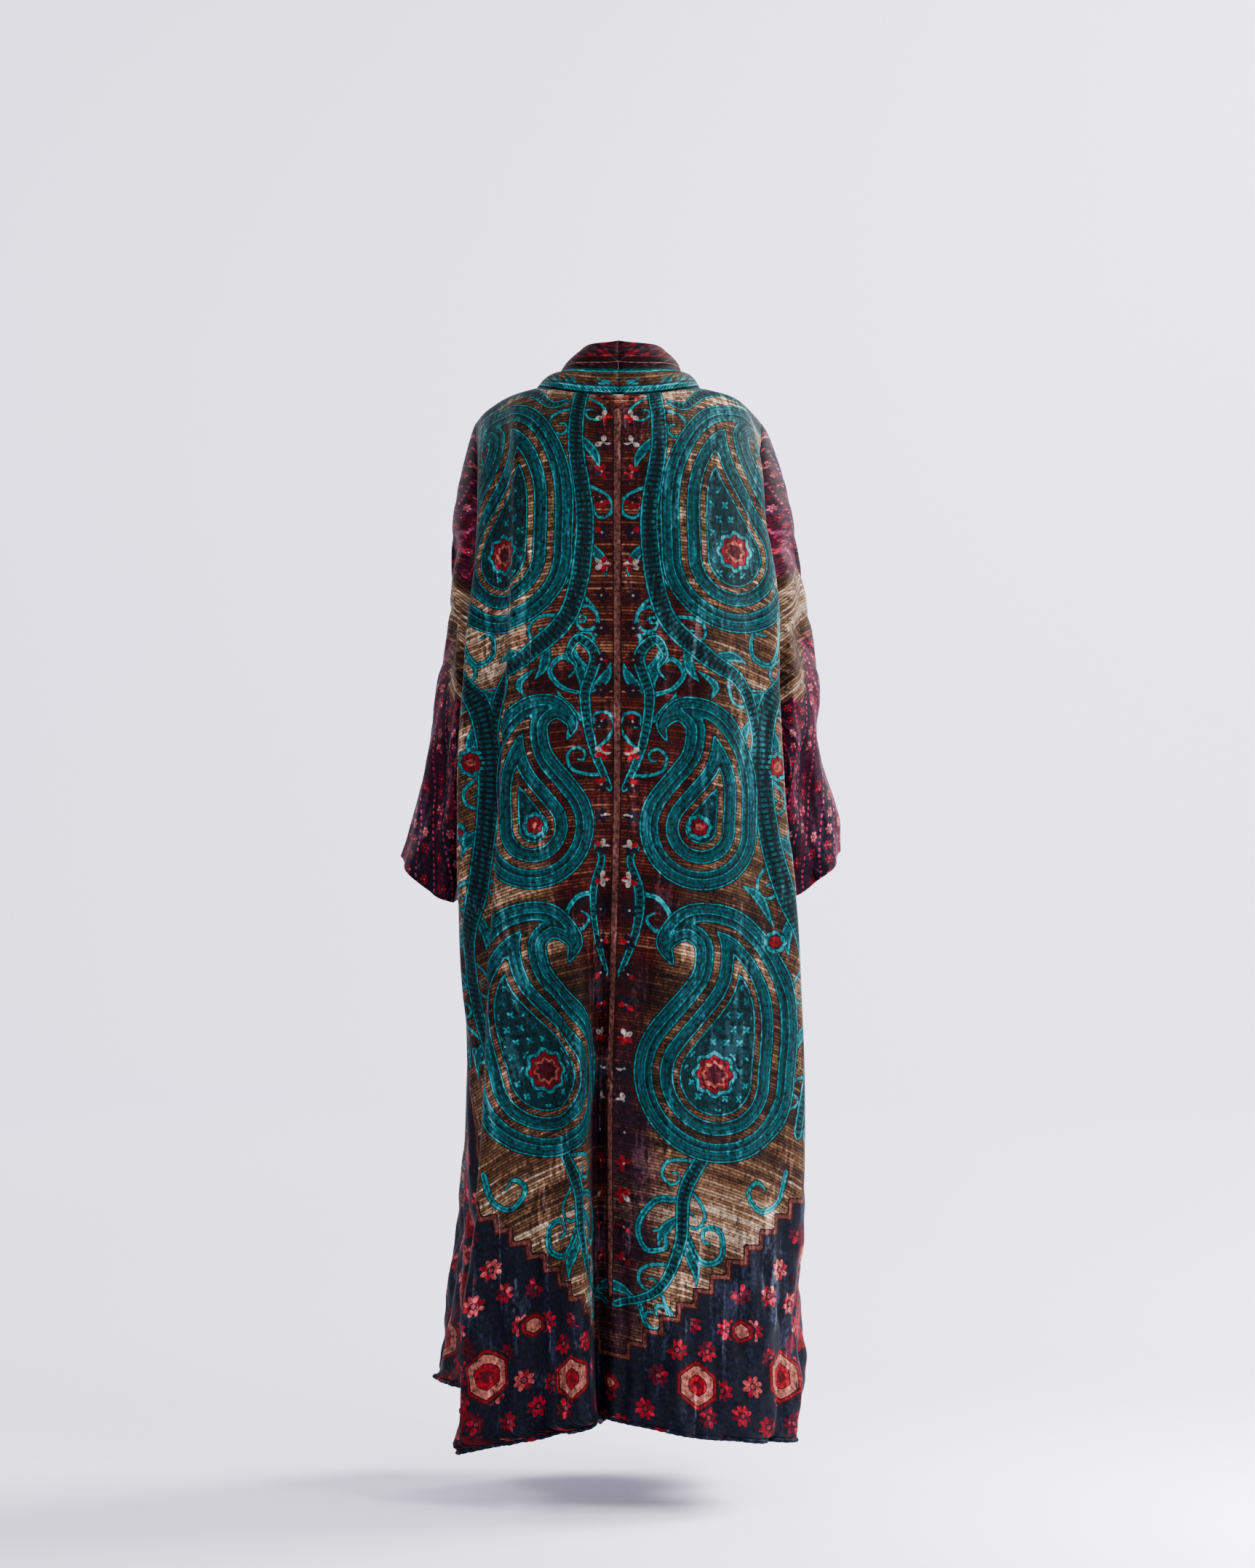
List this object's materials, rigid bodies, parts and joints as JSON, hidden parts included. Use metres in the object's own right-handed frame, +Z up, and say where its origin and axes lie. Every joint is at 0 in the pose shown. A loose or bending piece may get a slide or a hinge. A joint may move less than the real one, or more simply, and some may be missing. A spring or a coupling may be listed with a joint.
{
  "type": "abaya",
  "caption": "Floor-length open-fronted velvet abaya with dropped sleeves, a standing neck band and a rolled hem, hollow as worn.",
  "frame": {"origin": "middle of the neck opening at the height of the shoulder seams, where the wearer's shoulders carry the garment", "axes": "+Z up; the back faces -Y and the front opening +Y; +X is to the right for a viewer who looks at the back"},
  "size_m": [0.6255, 0.4253, 1.5418],
  "materials": {
    "printed_velvet": "printed crushed velvet, teal ornament on a striped tan and brown ground",
    "front_velvet": "printed crushed velvet, tan and brown striped ground",
    "sleeve_velvet": "printed crushed velvet, wine and navy with rows of small red flowers",
    "band_velvet": "printed crushed velvet, tan, brown and dark red with teal lines",
    "hem_cord": "rolled and overcast velvet edge, navy"
  },
  "bodies": {
    "root": {"back": "printed_velvet", "front_left": "front_velvet", "front_right": "front_velvet", "sleeve_left": "sleeve_velvet", "sleeve_right": "sleeve_velvet", "neck_band_left": "band_velvet", "neck_band_right": "band_velvet", "hem_roll_back": "hem_cord", "hem_roll_left": "hem_cord", "hem_roll_right": "hem_cord"}
  },
  "joints": []
}
